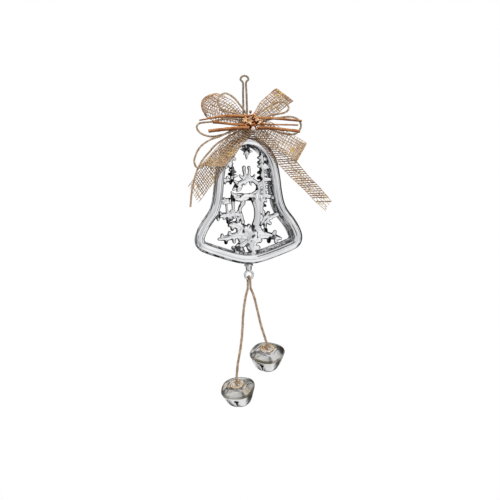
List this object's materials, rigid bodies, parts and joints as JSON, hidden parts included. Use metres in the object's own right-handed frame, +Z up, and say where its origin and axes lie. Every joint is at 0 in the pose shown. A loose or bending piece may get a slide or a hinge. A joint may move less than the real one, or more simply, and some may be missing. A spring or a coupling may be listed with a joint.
{
  "type": "christmas bell ornament",
  "caption": "Openwork bell casting with reindeer and snowflakes, a burlap bow with twigs, a hanging twine loop and jingle bells on a jute string.",
  "frame": {"origin": "top of the hanging twine loop", "axes": "+Z up, -Y to the front where the bow is, +X to the viewer's right"},
  "size_m": [0.1212, 0.0399, 0.2672],
  "materials": {
    "polished_casting": "cast, nickel plated and polished to a mirror shine",
    "burlap_ribbon": "open plain weave of jute threads with patches of gold glitter",
    "jute_twine": "twisted jute with loose fibres",
    "twig_bark": "dry bark, matt",
    "dried_wood": "dried woody flower, matt",
    "seed_husk": "pale dried seeds and husks",
    "jingle_nickel": "pressed steel with satin nickel plating",
    "hot_glue": "set amber hot glue",
    "pellet_steel": "plain steel ball"
  },
  "bodies": {
    "ornament": {"hanging_loop": "jute_twine", "top_eye": "polished_casting", "bell_rim": "polished_casting", "star": "polished_casting", "reindeer": "polished_casting", "large_snowflake": "polished_casting", "left_snowflake": "polished_casting", "right_snowflake": "polished_casting", "left_garland": "polished_casting", "right_garland": "polished_casting", "bottom_eye": "polished_casting", "ribbon_upper_left": "burlap_ribbon", "ribbon_upper_right": "burlap_ribbon", "ribbon_lower_left": "burlap_ribbon", "ribbon_lower_right": "burlap_ribbon", "ribbon_tail_left": "burlap_ribbon", "ribbon_tail_right": "burlap_ribbon", "bow_binding": "jute_twine", "twine_upper_left": "jute_twine", "twine_upper_right": "jute_twine", "twine_side_left": "jute_twine", "twine_side_right": "jute_twine", "twine_lower_left": "jute_twine", "twine_tail_left": "jute_twine", "twig_left_top": "twig_bark", "twig_left_middle": "twig_bark", "twig_left_low": "twig_bark", "twig_right_top": "twig_bark", "twig_right_middle": "twig_bark", "twig_right_low": "twig_bark", "dried_flower": "dried_wood", "seed_husks": "seed_husk", "pale_seed": "seed_husk"},
    "bight": {"string_bight": "jute_twine"},
    "left_fall": {"left_string": "jute_twine"},
    "right_fall": {"right_string": "jute_twine"},
    "left_bell": {"left_bell_cap": "jingle_nickel", "left_bell_cup": "jingle_nickel", "left_bell_glue": "hot_glue", "left_bell_knot": "jute_twine"},
    "left_pellet": {"left_bell_pellet": "pellet_steel"},
    "right_bell": {"right_bell_cap": "jingle_nickel", "right_bell_cup": "jingle_nickel", "right_bell_glue": "hot_glue", "right_bell_knot": "jute_twine"},
    "right_pellet": {"right_bell_pellet": "pellet_steel"}
  },
  "joints": [
    {"name": "bight_swing", "type": "hinge", "parent": "ornament", "child": "bight", "pos_m": [0, 0, -0.1639], "axis": [1, 0, 0], "range_deg": [-35, 35]},
    {"name": "left_string_swing", "type": "hinge", "parent": "bight", "child": "left_fall", "pos_m": [-0.00115, 0, -0.1705], "axis": [0, 1, 0], "range_deg": [-3, 45]},
    {"name": "right_string_swing", "type": "hinge", "parent": "bight", "child": "right_fall", "pos_m": [0.00115, 0, -0.1705], "axis": [0, -1, 0], "range_deg": [-3, 45]},
    {"name": "left_bell_nod", "type": "hinge", "parent": "left_fall", "child": "left_bell", "pos_m": [-0.0134, -0.004, -0.2448], "axis": [1, 0, 0], "range_deg": [-50, 20]},
    {"name": "right_bell_nod", "type": "hinge", "parent": "right_fall", "child": "right_bell", "pos_m": [0.0127, -0.004, -0.2172], "axis": [1, 0, 0], "range_deg": [-50, 20]},
    {"name": "left_pellet_slide", "type": "slide", "parent": "left_bell", "child": "left_pellet", "axis": [-0.2669, -0.5237, 0.809], "range_m": [0, 0.007]},
    {"name": "right_pellet_slide", "type": "slide", "parent": "right_bell", "child": "right_pellet", "axis": [-0.1447, -0.5401, 0.829], "range_m": [0, 0.007]}
  ]
}
